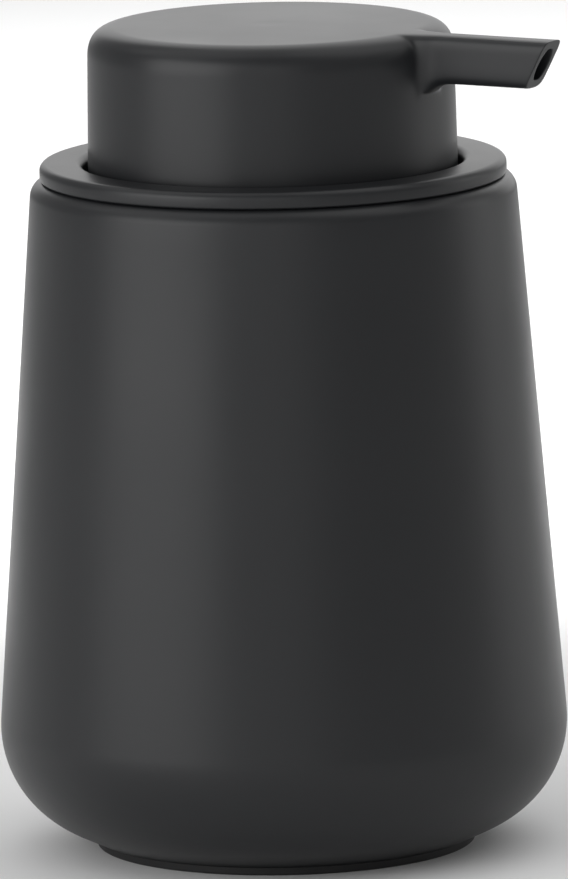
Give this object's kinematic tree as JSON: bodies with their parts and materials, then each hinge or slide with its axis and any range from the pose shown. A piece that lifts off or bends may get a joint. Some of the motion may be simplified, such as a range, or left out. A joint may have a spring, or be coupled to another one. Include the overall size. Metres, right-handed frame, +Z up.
{
  "type": "soap pump dispenser",
  "caption": "Conical stoneware soap dispenser with a flat collar ring and a broad press head whose slim spout lies flush with its top.",
  "frame": {"origin": "centre of the rest face under the foot pad, on the vessel's axis", "axes": "+Z up along the vessel's axis, +X along the spout at rest"},
  "size_m": [0.0861, 0.0802, 0.1168],
  "materials": {
    "charcoal_stoneware": "soft-touch lacquer, matt",
    "charcoal_abs": "soft-touch lacquer, matt",
    "dark_polypropylene": "moulded, satin",
    "natural_polypropylene": "natural, translucent",
    "white_polyethylene": "moulded, waxy",
    "black_silicone": "matt",
    "stainless_steel": "drawn"
  },
  "bodies": {
    "vessel": {"stoneware_body": "charcoal_stoneware", "base_pad": "black_silicone"},
    "pump_unit": {"collar": "charcoal_abs", "pump_carrier": "dark_polypropylene", "mouth_seal": "black_silicone", "screw_cap": "dark_polypropylene", "housing_gasket": "white_polyethylene", "pump_housing": "natural_polypropylene", "chaplet": "natural_polypropylene", "ball_retainer": "white_polyethylene", "return_spring": "stainless_steel", "dip_tube": "natural_polypropylene"},
    "inlet_valve": {"inlet_ball": "stainless_steel"},
    "plunger": {"stem": "white_polyethylene", "piston_rod": "white_polyethylene"},
    "piston_ring": {"piston": "white_polyethylene"},
    "head": {"head_shell": "charcoal_abs", "head_core": "dark_polypropylene", "nozzle_tube": "dark_polypropylene"}
  },
  "joints": [
    {"name": "refill", "type": "slide", "parent": "vessel", "child": "pump_unit", "axis": [0, 0, 1], "range_m": [0, 0.09]},
    {"name": "press", "type": "slide", "parent": "pump_unit", "child": "plunger", "axis": [0, 0, -1], "range_m": [0, 0.009], "stiffness_N_per_m": 600, "springref_m": -0.008, "deforming": ["return_spring"]},
    {"name": "turn_head", "type": "hinge", "parent": "plunger", "child": "head", "pos_m": [0, 0, 0.106], "axis": [0, 0, 1], "continuous": true},
    {"name": "piston_lag", "type": "slide", "parent": "plunger", "child": "piston_ring", "axis": [0, 0, 1], "range_m": [0, 0.0009]},
    {"name": "ball_lift", "type": "slide", "parent": "pump_unit", "child": "inlet_valve", "axis": [0, 0, 1], "range_m": [0, 0.0018]}
  ]
}
